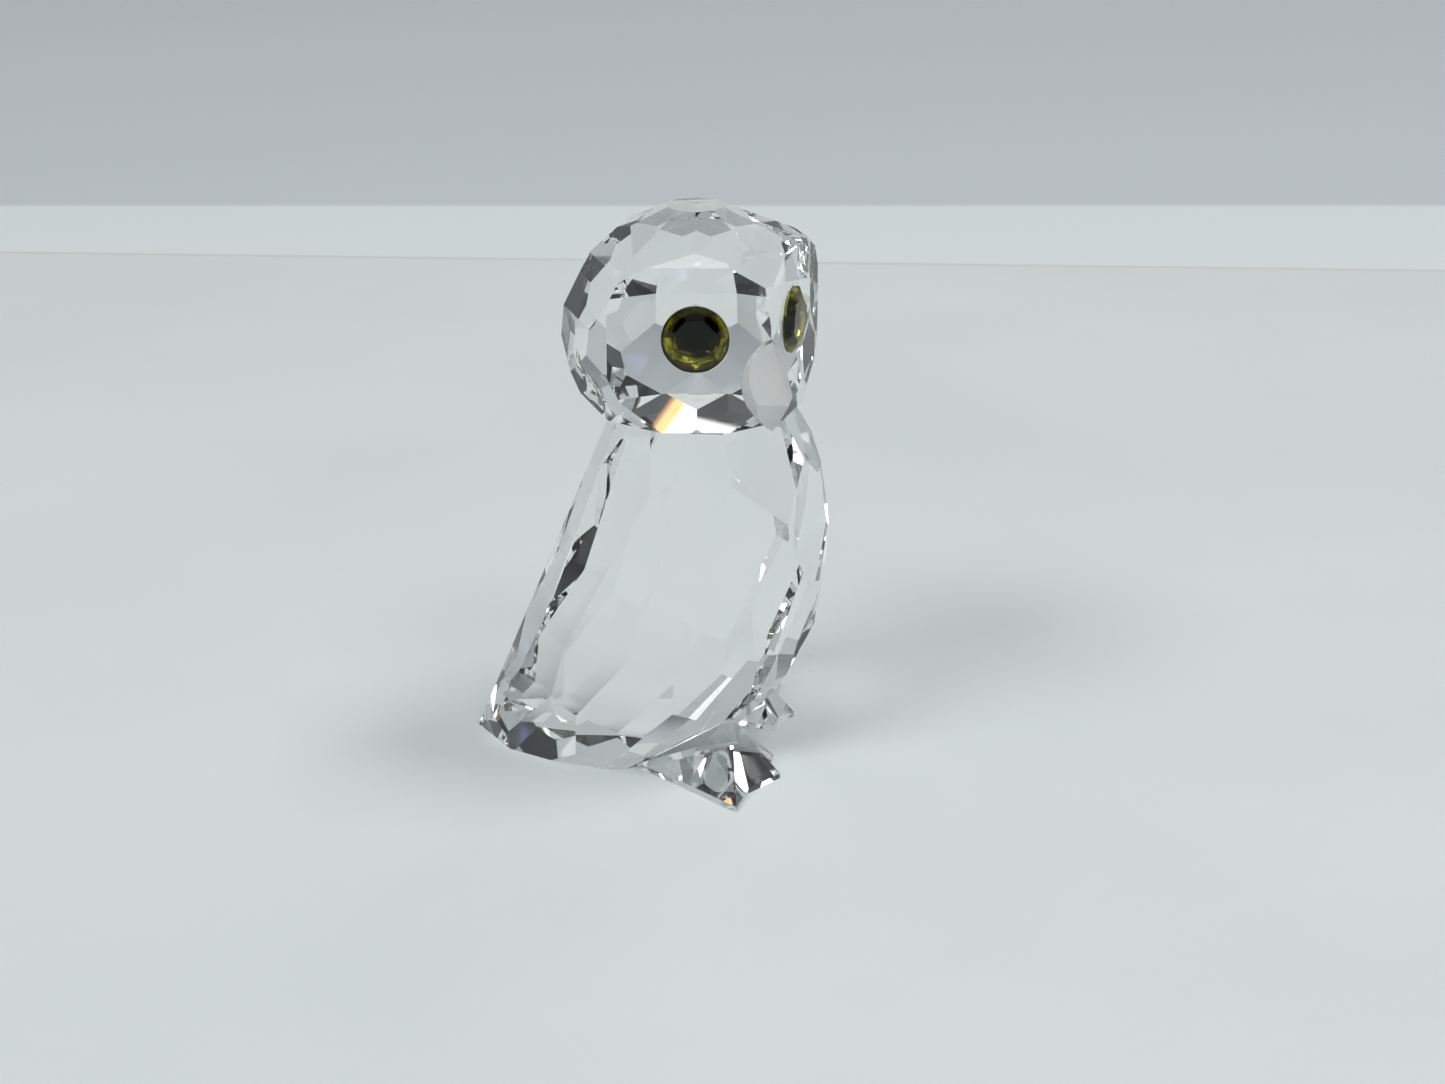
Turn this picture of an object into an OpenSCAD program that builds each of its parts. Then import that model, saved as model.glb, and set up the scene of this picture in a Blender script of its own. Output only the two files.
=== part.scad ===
// Small owl of cut crystal, bonded together from separately ground pieces.
// The owl looks along -Y, its right side is -X, and it stands on z = 0.

/* [Head] */
// Radius that the back of the head is ground to
head_r = 7.4; // [7.2:0.05:7.6]
// Height of the head's centre above the ground
head_z = 25.6; // [25.4:0.05:25.8]
// Angle that the head is turned towards the owl's right
head_turn = 47.5; // [0:0.5:60]
// Distance of each flat eye window from the head's axis
eye_flat_depth = 5.85; // [5.7:0.05:5.95]
// Radius that the brow above the eye windows is ground to
brow_r = 7.75; // [7.6:0.05:7.9]
// Radius that the ear tufts at the brow's outer ends are ground to
ear_r = 8.1; // [7.9:0.05:8.2]

/* [Eyes] */
// Diameter of an eye stone at its girdle
eye_d = 3.85; // [3.6:0.05:4]
// Height of the eye stones above the head's centre
eye_rise = 1; // [0.6:0.1:1.4]
// Width of an eye stone's flat table
eye_table_d = 2.4; // [2.2:0.05:2.6]
// Thickness of the foil lacquer behind an eye stone
foil_t = 0.08; // [0.06:0.01:0.1]

/* [Beak] */
// Height of the beak from tip to tip
beak_h = 5.4; // [5.2:0.1:5.6]
// Width of the beak across its middle
beak_w = 2.7; // [2.5:0.1:2.9]
// How far the beak stands out of the ridge between the eye windows
beak_out = 1.6; // [1.5:0.05:1.7]

/* [Body] */
// Height of the ground face that the head is bonded to
neck_z = 21; // [20.9:0.05:21.1]
// Angle that the body's long axis leans forward from upright
body_lean = 22.5; // [22:0.1:23]
// Distance from the body's long axis to its breast
body_front = 7.65; // [7.5:0.05:7.8]
// Distance from the body's long axis to each side
body_side = 7.3; // [7.2:0.05:7.4]
// Distance from the body's long axis to its flat back
body_back = 8.1; // [8:0.05:8.2]

/* [Feet] */
// Height that the feet are cut to before they are fitted to the belly
foot_h = 3.6; // [3.5:0.05:3.8]
// Thickness of the feet along their edges
foot_edge = 0.3; // [0.2:0.05:0.4]

/* [Bond] */
// Thickness of the cured adhesive films
bond_t = 0.1; // [0.08:0.01:0.12]

/* [Hidden] */
$fn = 64;

// Half the size of the blocks that stand for the material inside a facet
reach = 40;

// All material behind one ground facet. The facet's outward normal is turned
// from +X by turn and raised by rise, and it lies depth from the local origin.
module behind_facet(turn, rise, depth)
  rotate([0, -rise, turn])
    translate([depth - 2 * reach, -reach, -reach])
      cube(2 * reach);

// A ring of equal facets, as a cutter's index wheel gives them
module behind_ring(count, first, rise, depth)
  intersection_for (i = [0 : count - 1])
    behind_facet(first + i * 360 / count, rise, depth);

// ---- Placing: each piece is drawn looking along +X ----
// The whole owl, turned to look along -Y
module owl()
  rotate([0, 0, -90])
    children();

// The head's own frame, with its origin at the head's centre
module on_head()
  owl()
    translate([0, 0, head_z])
      rotate([0, 0, -head_turn])
        children();

// An eye's own frame on the left or the right window, with +Z out of the window
module on_eye(side)
  on_head()
    rotate([0, 0, side * index])
      translate([eye_flat_depth, 0, eye_rise])
        rotate([0, 90, 0])
          children();

// ---- Head ----
head_facets = 10;
index = 360 / head_facets;
head_base = neck_z + bond_t - head_z;
// How steeply each row of facets rises, from the chin up to the top of the head
chin_rise = -42;
jaw_rise = -22;
side_rise = 5;
nape_rise = 25;
brow_rise = 46;
crown_rise = 66;
// The distances from the head's centre at which its other facets are ground
cheek_r = head_r + 0.25;
side_r = head_r - 0.05;
crown_r = head_r - 0.12;
top_r = head_r - 0.15;
nape_r = head_r - 0.25;

// Facets 0 and its two neighbours face forward, and the cheeks come next on either side
function is_cheek(i) = i == 2 || i == 8;
function is_brow(i) = i < 2 || i > 8;
function brow_row_r(i) = is_brow(i) ? brow_r : is_cheek(i) ? ear_r : top_r;

module behind_eye_flats(extra)
  intersection() {
    behind_facet(index, 0, eye_flat_depth + extra);
    behind_facet(-index, 0, eye_flat_depth + extra);
  }

module head_form() {
  intersection() {
    behind_facet(0, 90, top_r);
    behind_facet(0, -90, -head_base);
    intersection_for (i = [0 : head_facets - 1])
      behind_facet(i * index, is_cheek(i) ? 0 : side_rise, is_cheek(i) ? cheek_r : side_r);
    intersection_for (i = [3 : head_facets - 3])
      behind_facet(i * index, nape_rise, nape_r);
    intersection_for (i = [0 : head_facets - 1])
      behind_facet(i * index, brow_rise, brow_row_r(i));
    behind_ring(head_facets, index / 2, crown_rise, crown_r);
    behind_ring(head_facets, index / 2, jaw_rise, head_r);
    behind_ring(head_facets, 0, chin_rise, head_r);
    behind_eye_flats(0);
  }
}

// ---- Eyes ----
eye_r = eye_d / 2;
girdle = 0.14;
// The seat for a stone: a short bore, then a cone down to a small flat
seat_r = eye_r + 0.1;
seat_straight = 0.35;
seat_deep = 1.95;
seat_tip_r = 0.2;
// The table is level with the top of the crown, which stands out of the window
stone_crown_h = 0.46;
stone_crown_rise = 90 - atan((stone_crown_h - girdle / 2) / (eye_r - eye_table_d / 2));
stone_crown_r = eye_r * cos(stone_crown_rise) + girdle / 2 * sin(stone_crown_rise);
pavilion_rise = -48;
pavilion_r = eye_r * cos(pavilion_rise) - girdle / 2 * sin(pavilion_rise);
stone_facets = 8;

module behind_pavilion(extra)
  behind_ring(stone_facets, 180 / stone_facets, pavilion_rise, pavilion_r + extra);

module eye_stone_form() {
  intersection() {
    translate([0, 0, -reach / 2]) cylinder(r = eye_r, h = reach);
    behind_facet(0, 90, stone_crown_h);
    behind_ring(stone_facets, 0, stone_crown_rise, stone_crown_r);
    behind_pavilion(0);
  }
}

module eye_foil_form() {
  difference() {
    intersection() {
      translate([0, 0, -reach]) cylinder(r = eye_r, h = reach - girdle / 2);
      behind_pavilion(foil_t);
    }
    behind_pavilion(0);
  }
}

// The seat drilled into the window for the stone
module eye_seat() {
  translate([0, 0, -seat_straight]) cylinder(r = seat_r, h = seat_straight + 1);
  translate([0, 0, -seat_deep]) cylinder(r1 = seat_tip_r, r2 = seat_r, h = seat_deep - seat_straight);
}

// The clear ring that fills the seat round the stone, level with the window
module eye_adhesive_form() {
  difference() {
    intersection() {
      eye_seat();
      behind_facet(0, 90, 0);
    }
    intersection() {
      translate([0, 0, -reach / 2]) cylinder(r = eye_r, h = reach);
      behind_pavilion(foil_t);
    }
  }
}

// ---- Beak ----
ridge_x = eye_flat_depth / cos(index);
// The beak's middle lies this far above the head's centre
beak_mid = -1.65;
// The two arcs of its pointed outline
beak_arc = (pow(beak_h / 2, 2) + pow(beak_w / 2, 2)) / beak_w;
// The heights at which its upper and lower faces would meet the ridge
beak_top = beak_h / 2 + 0.1;
beak_bottom = beak_h / 2 + 0.3;
beak_turn = 46;
// The lower faces run out to a point further forward, so the tip hangs
beak_hang = 1.45 * beak_out;
beak_brow_out = 0.8 * beak_out;

// A pair of faces that meets the middle plane at out in front and at height above
module behind_beak_faces(out, height) {
  rise = atan(cos(beak_turn) * out / height);
  for_both_sides() behind_facet(beak_turn, rise, abs(height) * abs(sin(rise)));
}

module beak_block() {
  translate([ridge_x, 0, beak_mid])
    intersection() {
      for_both_sides()
        translate([-reach / 2, beak_arc - beak_w / 2, 0])
          rotate([0, 90, 0])
            cylinder(r = beak_arc, h = reach, $fn = 128);
      behind_beak_faces(beak_brow_out, beak_top);
      behind_beak_faces(beak_hang, -beak_bottom);
    }
}

// What lies inside both of two mirrored pieces
module for_both_sides()
  intersection() {
    children();
    mirror([0, 1, 0]) children();
  }

// ---- Body ----
// The middle of the body's leaning axis, forward of and above the origin
axis_x = -0.64;
axis_z = 9.64;
// Half the length of the egg-shaped form that the body's facets touch
tall_front = 10.6;
tall_side = 16;
tall_back = 40;

// A value that runs from front through side to back as a facet goes round
function round_body(turn, front, side, back) =
  side * pow(sin(turn), 2) + (cos(turn) > 0 ? front : back) * pow(cos(turn), 2);

// Half the width and half the length of that form where a facet touches it
function body_wide(turn) = round_body(turn, body_front, body_side, body_back);
function body_tall(turn) = round_body(turn, tall_front, tall_side, tall_back);

// The turns of the facet rings. The highest ring runs round the front half only.
main_turns = [0 : 45 : 315];
between_turns = [22.5 : 45 : 337.5];
front_turns = [-67.5 : 45 : 67.5];

// How far out a facet touches that form
function body_touch(turn, rise) =
  norm([body_wide(turn) * cos(rise), body_tall(turn) * sin(rise)]);

// Facets round the leaning axis at the given turns, with their rise for front, side and back
module behind_body_ring(turns, front, side, back)
  translate([axis_x, 0, axis_z])
    rotate([0, body_lean, 0])
      intersection_for (turn = turns)
        let (rise = round_body(turn, front, side, back))
          behind_facet(turn, rise, body_touch(turn, rise));

// One wide facet across the top of the breast
breast_rise = 32;
breast_depth = body_front + 1.4;

module behind_breast()
  translate([axis_x, 0, axis_z])
    rotate([0, body_lean, 0])
      behind_facet(0, breast_rise, breast_depth);

// The eight collar facets start at the edges of the neck's face, which is this wide
neck_r = 5.3;
neck_back_r = 4.9;
collar_front_rise = 28;
collar_side_rise = 22.8;

module behind_collar()
  translate([0, 0, neck_z])
    intersection_for (turn = main_turns)
      let (rise = round_body(turn, collar_front_rise, collar_side_rise, body_lean))
        behind_facet(turn, rise, round_body(turn, neck_r, neck_r, neck_back_r) * cos(rise));

// The belly's two seats for the feet
seat_turn = 50;
seat_rise = -48;
seat_depth = 1.4;

module behind_seat(side, extra)
  behind_facet(side * seat_turn, seat_rise, seat_depth + extra);

// Short bevels round the tail's edge on the ground: each one's turn, rise and depth
tail_middle = [-6, 0, 0];
tail_bevels = [[120, -4, 5.59], [143.5, -9, 6.03]];

module behind_tail_bevels()
  translate(tail_middle)
    for_both_sides()
      intersection_for (bevel = tail_bevels)
        behind_facet(bevel[0], bevel[1], bevel[2]);

// The rings of facets are given from the collar down to the ground
module body_form() {
  intersection() {
    behind_facet(0, -90, 0);
    behind_facet(0, 90, neck_z);
    behind_collar();
    behind_breast();
    behind_body_ring(front_turns, 30, 10, 4);
    behind_body_ring(main_turns, 16, 0, 0);
    behind_body_ring(between_turns, 6, -3, -1);
    behind_body_ring(main_turns, -6, -10, 0);
    behind_body_ring(between_turns, -18, -18, -8);
    behind_body_ring(main_turns, -24, -33, -14);
    behind_seat(1, 0);
    behind_seat(-1, 0);
    behind_tail_bevels();
  }
}

// ---- Feet ----
// A foot's outline on the ground, from the heel round the outer toe to the inner side
foot_outline = [[-4.9, -0.3], [-1.6, 2.3], [1.6, 5.1], [2, 2.5], [3.6, 0.2], [2.9, -0.9], [3, -2.3], [-1, -1.7]];
foot_x = 2;
foot_y = 5.8;
foot_apex = [0.7, -0.2, foot_h];

// A low pyramid with an edge of even thickness, on the owl's left
module foot_block() {
  count = len(foot_outline);
  base = [for (p = foot_outline) [p[0], p[1], 0]];
  rim = [for (p = foot_outline) [p[0], p[1], foot_edge]];
  polyhedron(
    points = concat(base, rim, [foot_apex]),
    faces = concat(
      [[for (i = [count - 1 : -1 : 0]) i]],
      [for (i = [0 : count - 1]) [(i + 1) % count, count + (i + 1) % count, count + i, i]],
      [for (i = [0 : count - 1]) [count + (i + 1) % count, 2 * count, count + i]]
    )
  );
}

// The block set down beside the belly, turned in towards the middle by toe_in
module placed_foot_block(side, toe_in, inward)
  translate([foot_x, side * (foot_y - inward), 0])
    rotate([0, 0, -side * toe_in])
      mirror([0, side < 0 ? 1 : 0, 0])
        foot_block();

module foot_form(side, toe_in, inward)
  difference() {
    placed_foot_block(side, toe_in, inward);
    behind_seat(side, bond_t);
  }

module foot_adhesive_form(side, toe_in, inward)
  intersection() {
    placed_foot_block(side, toe_in, inward);
    difference() {
      behind_seat(side, bond_t);
      behind_seat(side, 0);
    }
  }

// ---- Nodes ----
LEFT = 1;
RIGHT = -1;
// The film under the head stops short of the neck's eight edges
neck_film_r = 4.7;
// The left foot points further in and sits closer to the middle
left_toe_in = 8;
left_inward = 2.4;

module body() {
  color("gainsboro")
    owl() body_form();
}

module head() {
  color("lightcyan")
    difference() {
      on_head() head_form();
      on_eye(RIGHT) eye_seat();
      on_eye(LEFT) eye_seat();
    }
}

module beak() {
  color("white")
    on_head()
      difference() {
        beak_block();
        behind_eye_flats(bond_t);
      }
}

module right_eye_stone() {
  color("darkolivegreen")
    on_eye(RIGHT) eye_stone_form();
}

module left_eye_stone() {
  color("darkolivegreen")
    on_eye(LEFT) eye_stone_form();
}

module right_eye_foil() {
  color("olive")
    on_eye(RIGHT) eye_foil_form();
}

module left_eye_foil() {
  color("olive")
    on_eye(LEFT) eye_foil_form();
}

module right_foot() {
  color("gainsboro")
    owl() foot_form(RIGHT, 0, 0);
}

module left_foot() {
  color("gainsboro")
    owl() foot_form(LEFT, left_toe_in, left_inward);
}

module neck_adhesive() {
  color("aliceblue")
    translate([0, 0, neck_z]) cylinder(r = neck_film_r, h = bond_t);
}

module beak_adhesive() {
  color("aliceblue")
    on_head()
      intersection() {
        beak_block();
        difference() {
          behind_eye_flats(bond_t);
          behind_eye_flats(0);
        }
      }
}

module right_eye_adhesive() {
  color("aliceblue")
    on_eye(RIGHT) eye_adhesive_form();
}

module left_eye_adhesive() {
  color("aliceblue")
    on_eye(LEFT) eye_adhesive_form();
}

module right_foot_adhesive() {
  color("aliceblue")
    owl() foot_adhesive_form(RIGHT, 0, 0);
}

module left_foot_adhesive() {
  color("aliceblue")
    owl() foot_adhesive_form(LEFT, left_toe_in, left_inward);
}

body();
head();
beak();
right_eye_stone();
left_eye_stone();
right_eye_foil();
left_eye_foil();
right_foot();
left_foot();
neck_adhesive();
beak_adhesive();
right_eye_adhesive();
left_eye_adhesive();
right_foot_adhesive();
left_foot_adhesive();
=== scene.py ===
import math

import bpy
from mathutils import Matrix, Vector


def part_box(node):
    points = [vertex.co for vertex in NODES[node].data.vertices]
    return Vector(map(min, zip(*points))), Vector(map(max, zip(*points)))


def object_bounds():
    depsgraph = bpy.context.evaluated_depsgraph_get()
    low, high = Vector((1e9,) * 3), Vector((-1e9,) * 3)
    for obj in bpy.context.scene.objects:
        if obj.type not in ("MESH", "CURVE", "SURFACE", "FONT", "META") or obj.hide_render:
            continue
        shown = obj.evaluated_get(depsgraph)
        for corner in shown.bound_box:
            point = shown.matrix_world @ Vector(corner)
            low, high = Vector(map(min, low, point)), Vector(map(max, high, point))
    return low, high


# The owl stands on the ground plane and its body faces -Y. Its right side, to which its head is
# turned, is -X. Lengths are in metres unless their names or comments say otherwise.
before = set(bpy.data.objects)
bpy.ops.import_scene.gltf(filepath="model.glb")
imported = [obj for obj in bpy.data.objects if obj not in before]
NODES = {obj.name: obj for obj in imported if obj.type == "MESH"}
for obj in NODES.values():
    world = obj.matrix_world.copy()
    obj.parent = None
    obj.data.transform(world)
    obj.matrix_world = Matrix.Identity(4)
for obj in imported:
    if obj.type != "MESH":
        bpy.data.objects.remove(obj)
SIDES = ("right", "left")
MM = 0.001


def corners(bounds):
    """The two corners of a box as plain lists of numbers."""
    return [[float(v) for v in corner] for corner in bounds]


CAD_BOX = corners(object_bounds())
FLOOR_Z = CAD_BOX[0][2]


# ---- Small helpers for node trees ----
def link(tree, a, b):
    tree.links.new(a, b)


def node(tree, kind, **values):
    """A node with its inputs set by name, and its own settings by attribute."""
    made = tree.nodes.new(kind)
    for key, value in values.items():
        if hasattr(made, key):
            setattr(made, key, value)
        else:
            made.inputs[key.replace("_", " ")].default_value = value
    return made


def new_material(name):
    mat = bpy.data.materials.new(name)
    mat.use_nodes = True
    tree = mat.node_tree
    return mat, tree, tree.nodes["Principled BSDF"]


def spread(tree, value, start, end, low=0.0, high=1.0):
    """Low at start, high at end, and level beyond them. Start may be the larger one."""
    m = node(tree, "ShaderNodeMapRange", From_Min=start, From_Max=end, To_Min=low, To_Max=high)
    link(tree, value, m.inputs["Value"])
    return m.outputs["Result"]


def noise(tree, coords, scale, detail=3.0, low=0.4, high=0.6, a=0.0, b=1.0):
    """Object-space noise, spread from a to b between its values low and high."""
    n = node(tree, "ShaderNodeTexNoise", Scale=scale, Detail=detail)
    link(tree, coords, n.inputs["Vector"])
    return spread(tree, n.outputs["Fac"], low, high, a, b)


def mix_colour(tree, fac, a, b):
    """Mixes two colours, each given as three numbers or as another node's output."""
    m = node(tree, "ShaderNodeMix", data_type="RGBA")
    link(tree, fac, m.inputs["Factor"])
    for socket, colour in ((m.inputs[6], a), (m.inputs[7], b)):
        if isinstance(colour, tuple):
            socket.default_value = (*colour, 1)
        else:
            link(tree, colour, socket)
    return m.outputs[2]


def colour_ramp(tree, value, stops, interpolation="LINEAR"):
    """Colours for a value from 0 to 1, given as positions and colours."""
    ramp = node(tree, "ShaderNodeValToRGB")
    ramp.color_ramp.interpolation = interpolation
    link(tree, value, ramp.inputs["Fac"])
    elements = ramp.color_ramp.elements
    for i, (position, colour) in enumerate(stops):
        element = elements[i] if i < 2 else elements.new(position)
        element.position = position
        element.color = (*colour, 1)
    return ramp.outputs["Color"]


def maths(tree, operation, first, second=None):
    """Arithmetic on a node's output, with a number or another node's output as the second value."""
    m = node(tree, "ShaderNodeMath", operation=operation)
    link(tree, first, m.inputs[0])
    if isinstance(second, float):
        m.inputs[1].default_value = second
    elif second is not None:
        link(tree, second, m.inputs[1])
    return m.outputs[0]


def vector_maths(tree, operation, first, second=None):
    """A vector operation on a node's output, with a fixed second vector where it takes one."""
    v = node(tree, "ShaderNodeVectorMath", operation=operation)
    link(tree, first, v.inputs[0])
    if second is not None:
        v.inputs[1].default_value = second
    return v


def object_coords(tree):
    return node(tree, "ShaderNodeTexCoord").outputs["Object"]


# ---- Materials ----
CRYSTAL_IOR = 1.57
CLEAR_RESIN_IOR = 1.5
# Lower than real glass, which keeps the eye's table dark
EYE_IOR = 1.36
# Roughness from and to
POLISHED = (0.0, 0.012)
CURED = (0.02, 0.08)


def cut_glass(name, clear, tint, ior, rough=POLISHED):
    """Polished glass: a slight streak of colour and the faint haze that polishing leaves."""
    mat, tree, bsdf = new_material(name)
    coords = object_coords(tree)
    streaks = noise(tree, coords, scale=160.0, detail=2.0)
    link(tree, mix_colour(tree, streaks, clear, tint), bsdf.inputs["Base Color"])
    haze = noise(tree, coords, scale=900.0, detail=4.0, a=rough[0], b=rough[1])
    link(tree, haze, bsdf.inputs["Roughness"])
    bsdf.inputs["Transmission Weight"].default_value = 1.0
    bsdf.inputs["IOR"].default_value = ior
    return mat


def bonded_face():
    """A face inside a clear bond, where light goes straight on."""
    mat, _, bsdf = new_material("bonded_face")
    bsdf.inputs["Base Color"].default_value = (1, 1, 1, 1)
    bsdf.inputs["Alpha"].default_value = 0.0
    return mat


def frosted():
    """Matt crystal: milky, with a fine grain."""
    mat, tree, bsdf = new_material("frosted_crystal")
    coords = object_coords(tree)
    cloud = noise(tree, coords, scale=700.0, detail=5.0)
    milk = mix_colour(tree, cloud, (1.0, 1.0, 0.99), (0.95, 0.96, 0.955))
    link(tree, milk, bsdf.inputs["Base Color"])
    link(tree, noise(tree, coords, scale=2500.0, a=0.42, b=0.6), bsdf.inputs["Roughness"])
    bump = node(tree, "ShaderNodeBump", Strength=0.35, Distance=0.02 * MM)
    link(tree, noise(tree, coords, scale=9000.0, detail=4.0), bump.inputs["Height"])
    link(tree, bump.outputs["Normal"], bsdf.inputs["Normal"])
    bsdf.inputs["Transmission Weight"].default_value = 0.5
    bsdf.inputs["IOR"].default_value = CLEAR_RESIN_IOR
    return mat


def eye_axis(side):
    """A point on an eye stone's axis and the direction in which that eye looks."""
    def middle(name):
        low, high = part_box(name)
        return (low + high) / 2
    stone, foil = middle(f"{side}_eye_stone"), middle(f"{side}_eye_foil")
    look = stone - foil
    look.z = 0
    return stone, look.normalized()


# The foil's colours from the stone's axis, 0, out to its girdle, 1
FOIL_COLOURS = (
    (0.0, (0.015, 0.015, 0.008)),
    (0.60, (0.02, 0.02, 0.01)),
    (0.68, (0.60, 0.54, 0.14)),
    (0.87, (0.95, 0.88, 0.34)),
    (0.95, (0.04, 0.045, 0.02)),
)


def mirror_foil(side):
    """Olive mirror lacquer, nearly black in the middle and at the girdle."""
    mat, tree, bsdf = new_material(f"{side}_olive_mirror")
    coords = object_coords(tree)
    centre, look = eye_axis(side)
    offset = vector_maths(tree, "SUBTRACT", coords, centre)
    across = vector_maths(tree, "CROSS_PRODUCT", offset.outputs[0], look)
    radius = vector_maths(tree, "LENGTH", across.outputs[0])
    low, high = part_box(f"{side}_eye_stone")
    outward = spread(tree, radius.outputs["Value"], 0.0, (high.z - low.z) / 2)
    cloud = noise(tree, coords, scale=1500.0, detail=4.0, a=0.7, b=1.0)
    shade = vector_maths(tree, "SCALE", colour_ramp(tree, outward, FOIL_COLOURS))
    link(tree, cloud, shade.inputs["Scale"])
    link(tree, shade.outputs[0], bsdf.inputs["Base Color"])
    link(tree, noise(tree, coords, scale=3000.0, a=0.04, b=0.12), bsdf.inputs["Roughness"])
    bsdf.inputs["Metallic"].default_value = 0.85
    return mat


def lacquer_back():
    """The foil's outer face: dark lacquer, as it shows through the head."""
    mat, tree, bsdf = new_material("dark_lacquer")
    coords = object_coords(tree)
    cloud = noise(tree, coords, scale=2000.0, detail=4.0)
    dark = mix_colour(tree, cloud, (0.03, 0.032, 0.03), (0.012, 0.012, 0.016))
    link(tree, dark, bsdf.inputs["Base Color"])
    link(tree, noise(tree, coords, scale=5000.0, a=0.12, b=0.3), bsdf.inputs["Roughness"])
    return mat


CRYSTAL = cut_glass("crystal", (0.985, 0.992, 0.99), (0.965, 0.98, 0.978), CRYSTAL_IOR)
ADHESIVE = cut_glass(
    "clear_adhesive", (0.98, 0.985, 0.985), (0.96, 0.97, 0.97), CLEAR_RESIN_IOR, CURED
)
EYE_GLASS = cut_glass("olive_eye_crystal", (0.78, 0.78, 0.32), (0.66, 0.68, 0.24), EYE_IOR)
FROSTED = frosted()
LACQUER = lacquer_back()
BONDED = bonded_face()


# ---- Dressing the CAD pieces ----
def dress(name, mat, other=None, is_other=None):
    """Gives a CAD node its material, with flat facets. Faces that pass the test get the other material."""
    obj = NODES[name]
    mesh = obj.data
    mesh.materials.clear()
    mesh.materials.append(mat)
    if other:
        mesh.materials.append(other)
    for poly in mesh.polygons:
        poly.use_smooth = False
        poly.material_index = 1 if other and is_other(poly.center, poly.normal) else 0
    return obj


SEAT_MARGIN = 0.03 * MM
FILM_GAP = 0.004 * MM
# Limits for the cosine of the angle between a face's normal and the way an eye looks
EYE_FLAT = 0.9
RING_FRONT = 0.95
PAVILION = -0.3
# Limit for the upright part of a face's normal, which is 1 on a level face
LEVEL = 0.999
SEATS = [(*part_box(f"{side}_eye_adhesive"), eye_axis(side)[1]) for side in SIDES]


def in_eye_seat(centre, normal):
    """True for the head's faces down in an eye's seat. The one level facet at its top stays crystal."""
    for low, high, look in SEATS:
        inside = all(low[i] - SEAT_MARGIN < centre[i] < high[i] + SEAT_MARGIN for i in range(3))
        if inside and normal.dot(look) < EYE_FLAT and abs(normal.z) < LEVEL:
            return True
    return False


def thin(obj):
    """Draws a thin piece's faces in by a hair, so that they don't lie in its neighbours' faces."""
    shrink = obj.modifiers.new("film_gap", "DISPLACE")
    shrink.strength = -FILM_GAP
    shrink.mid_level = 0.0


def dress_eye(side):
    """The stone's pavilion and its bond are clear, and the foil is dark lacquer on its outer face."""
    _, look = eye_axis(side)
    dress(f"{side}_eye_stone", EYE_GLASS, BONDED, lambda _, normal: normal.dot(look) < PAVILION)
    foil = dress(f"{side}_eye_foil", mirror_foil(side), LACQUER, lambda _, normal: normal.dot(look) < 0)
    thin(foil)
    dress(f"{side}_eye_adhesive", ADHESIVE, BONDED, lambda _, normal: normal.dot(look) < RING_FRONT)


dress("body", CRYSTAL)
dress("head", CRYSTAL, BONDED, in_eye_seat)
dress("right_foot", CRYSTAL)
dress("left_foot", CRYSTAL)
dress("beak", FROSTED)
for side in SIDES:
    dress_eye(side)
for name in ("neck_adhesive", "beak_adhesive", "right_foot_adhesive", "left_foot_adhesive"):
    thin(dress(name, ADHESIVE))

# ---- Floor: pale paper, with a painted light band and a greyer area of painted backdrop shade behind it ----
# How far the painted bands' edges are turned away from the Y axis, in degrees
BAND_TURN = 6.5
PAINTED_LIGHT_BAND_NEAR = 0.1080
# How far the painted light band's near edge shifts for each metre to the side
PAINTED_LIGHT_BAND_SKEW = 0.048
PAINTED_LIGHT_BAND_FAR = 0.1282
# A thin warm line of painted shadow runs along the painted light band's near edge
EDGE_LINE = 0.0008
SHARP = 0.0004
SOFT = 0.0012
PAPER = (0.815, 0.874, 0.862)
PAPER_CLOUD = (0.765, 0.826, 0.822)
PAINTED_SHADOW_LINE = (0.73, 0.77, 0.755)
# Painted light: the lighter band where the paper bends up into the backdrop
PAINTED_LIGHT_BAND = (0.84, 0.905, 0.915)
# Painted shade: the dimmer backdrop, laid flat on the floor beyond the light band
PAINTED_BACKDROP_SHADE = (0.66, 0.715, 0.745)
FLOOR_HALF = 2.5
FLOOR_GAP = 0.002 * MM


def paper():
    """Pale paper: a near part, a band of painted light behind it and greyer painted backdrop shade beyond.
    """
    mat, tree, bsdf = new_material("paper")
    coords = object_coords(tree)
    turn = math.radians(BAND_TURN)
    away = Vector((math.cos(turn), math.sin(turn), 0))
    across = Vector((math.sin(turn), -math.cos(turn), 0))

    def distance(skew):
        """How far back a point lies, measured square to the painted bands' edges."""
        return vector_maths(tree, "DOT_PRODUCT", coords, away + skew * across).outputs["Value"]

    near_edge, far_edge = distance(PAINTED_LIGHT_BAND_SKEW), distance(0.0)
    cloud = noise(tree, coords, scale=24.0, detail=4.0, low=0.3, high=0.7)
    colour = mix_colour(tree, cloud, PAPER, PAPER_CLOUD)
    # The painted shadow line, the painted light band and the painted backdrop shade, one after another
    for edge, start, width, beyond in (
        (near_edge, PAINTED_LIGHT_BAND_NEAR - EDGE_LINE, SHARP, PAINTED_SHADOW_LINE),
        (near_edge, PAINTED_LIGHT_BAND_NEAR, SHARP, PAINTED_LIGHT_BAND),
        (far_edge, PAINTED_LIGHT_BAND_FAR, SOFT, PAINTED_BACKDROP_SHADE),
    ):
        colour = mix_colour(tree, spread(tree, edge, start, start + width), colour, beyond)
    link(tree, colour, bsdf.inputs["Base Color"])
    bsdf.inputs["Roughness"].default_value = 0.85
    bump = node(tree, "ShaderNodeBump", Strength=0.2, Distance=0.05 * MM)
    link(tree, noise(tree, coords, scale=700.0, detail=6.0), bump.inputs["Height"])
    link(tree, bump.outputs["Normal"], bsdf.inputs["Normal"])
    return mat


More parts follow.
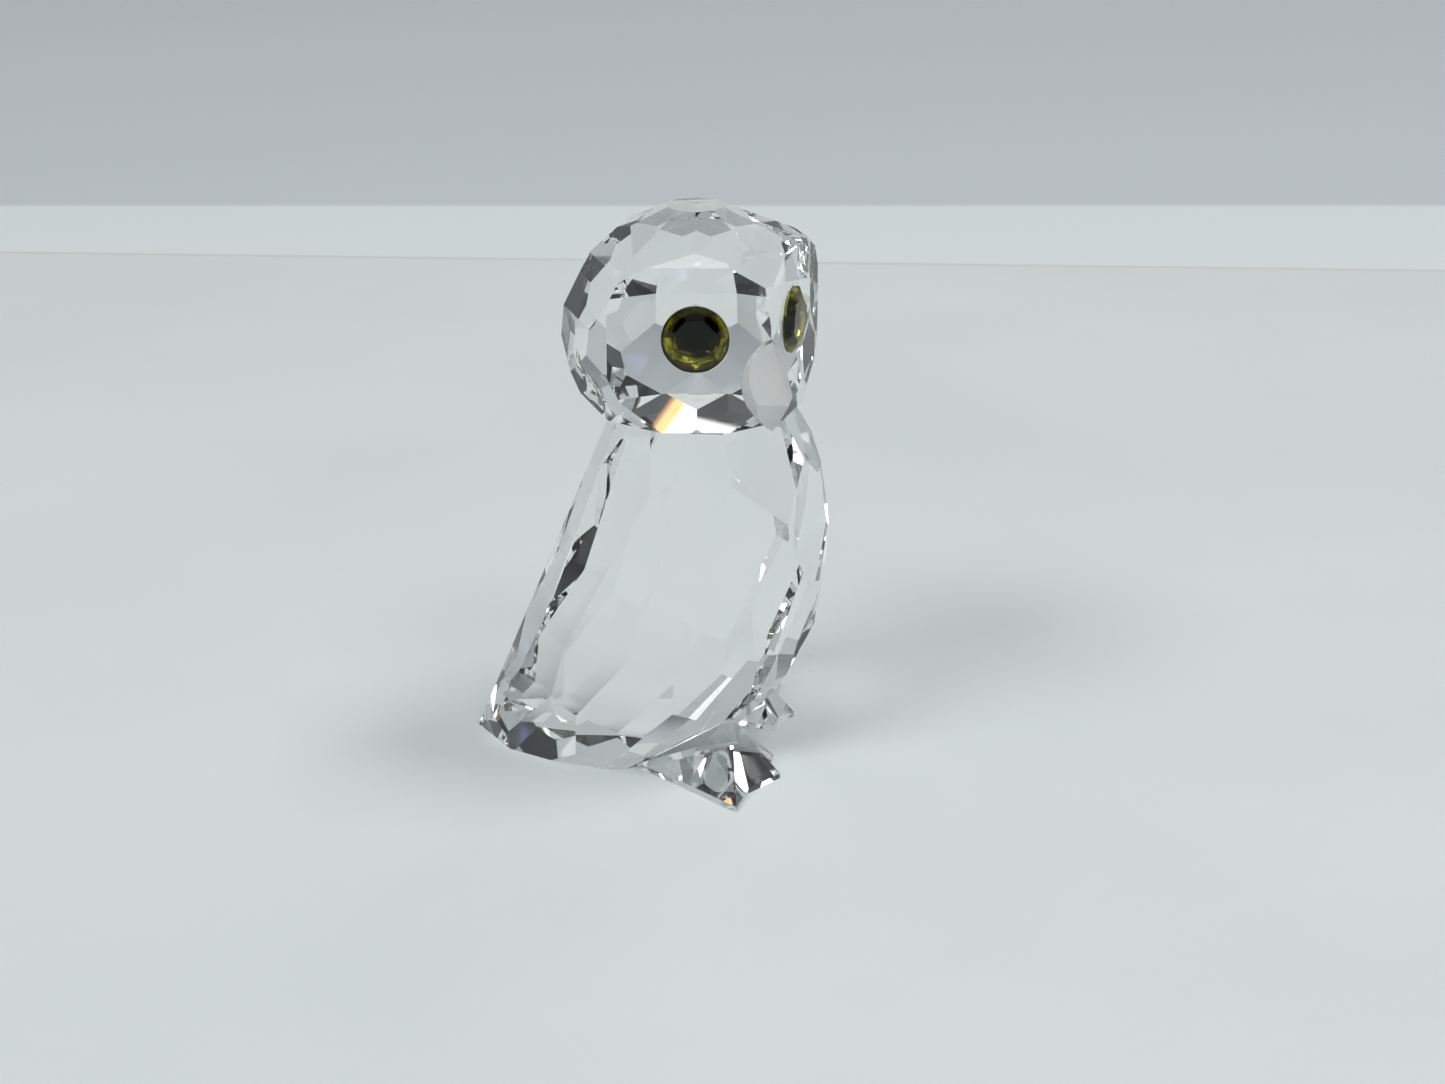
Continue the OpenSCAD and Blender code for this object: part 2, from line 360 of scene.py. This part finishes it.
def lay_floor():
    mesh = bpy.data.meshes.new("floor")
    square = [(-1, -1), (1, -1), (1, 1), (-1, 1)]
    mesh.from_pydata([(x * FLOOR_HALF, y * FLOOR_HALF, 0) for x, y in square], [], [(0, 1, 2, 3)])
    mesh.materials.append(paper())
    floor = bpy.data.objects.new("floor", mesh)
    floor.location.z = FLOOR_Z - FLOOR_GAP
    bpy.context.scene.collection.objects.link(floor)


lay_floor()


# ---- Light ----
def way_to(azimuth, elevation):
    """The direction of a place round the owl. Azimuth 0 is in front of it, -90 on its right."""
    a, e = math.radians(azimuth), math.radians(elevation)
    return Vector((math.sin(a) * math.cos(e), -math.cos(a) * math.cos(e), math.sin(e)))


def softbox(name, azimuth, elevation, distance, size, watts, colour=(1.0, 1.0, 1.0)):
    """A soft rectangular light, aimed at the owl."""
    way = way_to(azimuth, elevation)
    data = bpy.data.lights.new(name, "AREA")
    data.shape = "RECTANGLE"
    data.size, data.size_y = size
    data.energy = watts
    data.color = colour
    obj = bpy.data.objects.new(name, data)
    obj.location = way * distance
    obj.rotation_euler = way.to_track_quat("Z", "Y").to_euler()
    bpy.context.scene.collection.objects.link(obj)


# Azimuth, elevation, distance, size, watts and colour
softbox("lamp_front", 12, 64, 0.8, (0.30, 0.22), 1.85, (1.0, 0.99, 0.97))
softbox("lamp_back_left", -132, 48, 0.8, (0.28, 0.18), 1.6, (0.97, 0.99, 1.0))
softbox("lamp_top", -105, 77, 0.9, (0.36, 0.36), 1.2)
softbox("lamp_fill", -45, 55, 0.7, (0.16, 0.16), 0.4)

# ---- Room: dark, with pale walls and windows, so that some facets flash and some go dark ----
CEILING = (0.012, 0.012, 0.014)
PALE = (0.44, 0.47, 0.485)
# The pale area on the camera's side
PALE_NEAR_SIDE = (0.40, 0.42, 0.43)
WINDOW = (3.0, 2.95, 2.85)
ORANGE = (2.2, 1.05, 0.35)
VIOLET = (1.0, 1.05, 2.4)
# Lit areas of the room as azimuth from and to, elevation from and to, in degrees, and colour.
# One window has a thin orange edge, for the colours that cut glass spreads light into.
ROOM = [
    (-180, 180, -10, 8, PALE),
    (18, 150, -10, 24, PALE),
    (69, 104, -10, 36, PALE),
    (-130, -45, 22, 68, PALE_NEAR_SIDE),
    (66, 76.2, 39.5, 50, WINDOW),
    (76.2, 76.4, 39.5, 50, ORANGE),
    (112, 124, 43.1, 48, WINDOW),
]
SOFT_EDGE = math.radians(0.4)

# Small lights high in the room, each in a cell of its own. A draw leaves out most cells.
# Each pair says where the light is off and where it is fully on. The elevation is in radians.
SPARK_SCALE = 14.0
SPARK_RADIUS = (0.22, 0.18)
SPARK_DRAW = (0.68, 0.69)
SPARK_ELEVATION = (0.36, 0.38)
SPARK_COLOURS = ((0.0, WINDOW), (0.5, ORANGE), (0.75, VIOLET))


def lamps_far_off(tree, way, elevation, under):
    """Small white, orange and violet lights high in the room, that make the small sparkles."""
    dots = node(tree, "ShaderNodeTexVoronoi", Scale=SPARK_SCALE)
    link(tree, way, dots.inputs["Vector"])
    draw = node(tree, "ShaderNodeSeparateColor")
    link(tree, dots.outputs["Color"], draw.inputs[0])
    in_dot = spread(tree, dots.outputs["Distance"], *SPARK_RADIUS)
    drawn = spread(tree, draw.outputs[0], *SPARK_DRAW)
    high_up = spread(tree, elevation, *SPARK_ELEVATION)
    lit = maths(tree, "MULTIPLY", maths(tree, "MULTIPLY", in_dot, drawn), high_up)
    return mix_colour(tree, lit, under, colour_ramp(tree, draw.outputs[1], SPARK_COLOURS, "CONSTANT"))


def between(tree, value, start, end):
    """1 between two angles given in degrees and 0 outside them, with soft edges."""
    start, end = math.radians(start), math.radians(end)
    after = spread(tree, value, start - SOFT_EDGE, start)
    before = spread(tree, value, end + SOFT_EDGE, end)
    return maths(tree, "MULTIPLY", after, before)


def room():
    """The world's colour by direction."""
    world = bpy.data.worlds.new("room")
    bpy.context.scene.world = world
    world.use_nodes = True
    tree = world.node_tree
    way = node(tree, "ShaderNodeTexCoord").outputs["Generated"]
    xyz = node(tree, "ShaderNodeSeparateXYZ")
    link(tree, way, xyz.inputs[0])
    ahead = maths(tree, "MULTIPLY", xyz.outputs["Y"], -1.0)
    azimuth = maths(tree, "ARCTAN2", xyz.outputs["X"], ahead)
    elevation = maths(tree, "ARCSINE", xyz.outputs["Z"])
    colour = CEILING
    for left, right, bottom, top, lit in ROOM:
        across = between(tree, azimuth, left, right)
        upright = between(tree, elevation, bottom, top)
        colour = mix_colour(tree, maths(tree, "MULTIPLY", across, upright), colour, lit)
    seen = lamps_far_off(tree, way, elevation, colour)
    link(tree, seen, tree.nodes["Background"].inputs["Color"])


room()

# ---- Camera: low on the owl's right, a little in front ----
VIEW_AZIMUTH = -83.5
VIEW_ELEVATION = 20.5
VIEW_DISTANCE = 0.18764
LENS_MM = 77.0
AIM = Vector((4.19 * MM, -1.06 * MM, 10.82 * MM))
SENSOR_MM = 36.0
CLIP_START = 0.01
scene = bpy.context.scene


def place_camera():
    data = bpy.data.cameras.new("camera")
    data.lens = LENS_MM
    data.sensor_width = SENSOR_MM
    data.clip_start = CLIP_START
    camera = bpy.data.objects.new("camera", data)
    back = way_to(VIEW_AZIMUTH, VIEW_ELEVATION)
    camera.location = AIM + back * VIEW_DISTANCE
    camera.rotation_euler = back.to_track_quat("Z", "Y").to_euler()
    scene.collection.objects.link(camera)
    scene.camera = camera


place_camera()

# ---- Light paths through many facets ----
scene.cycles.max_bounces = 32
scene.cycles.transmission_bounces = 32
scene.cycles.glossy_bounces = 16
scene.cycles.diffuse_bounces = 3
scene.cycles.transparent_max_bounces = 32
scene.cycles.caustics_refractive = True
scene.cycles.caustics_reflective = True
scene.cycles.blur_glossy = 0.3
scene.cycles.sample_clamp_indirect = 8.0
scene.cycles.use_denoising = True
scene.view_settings.view_transform = "Standard"
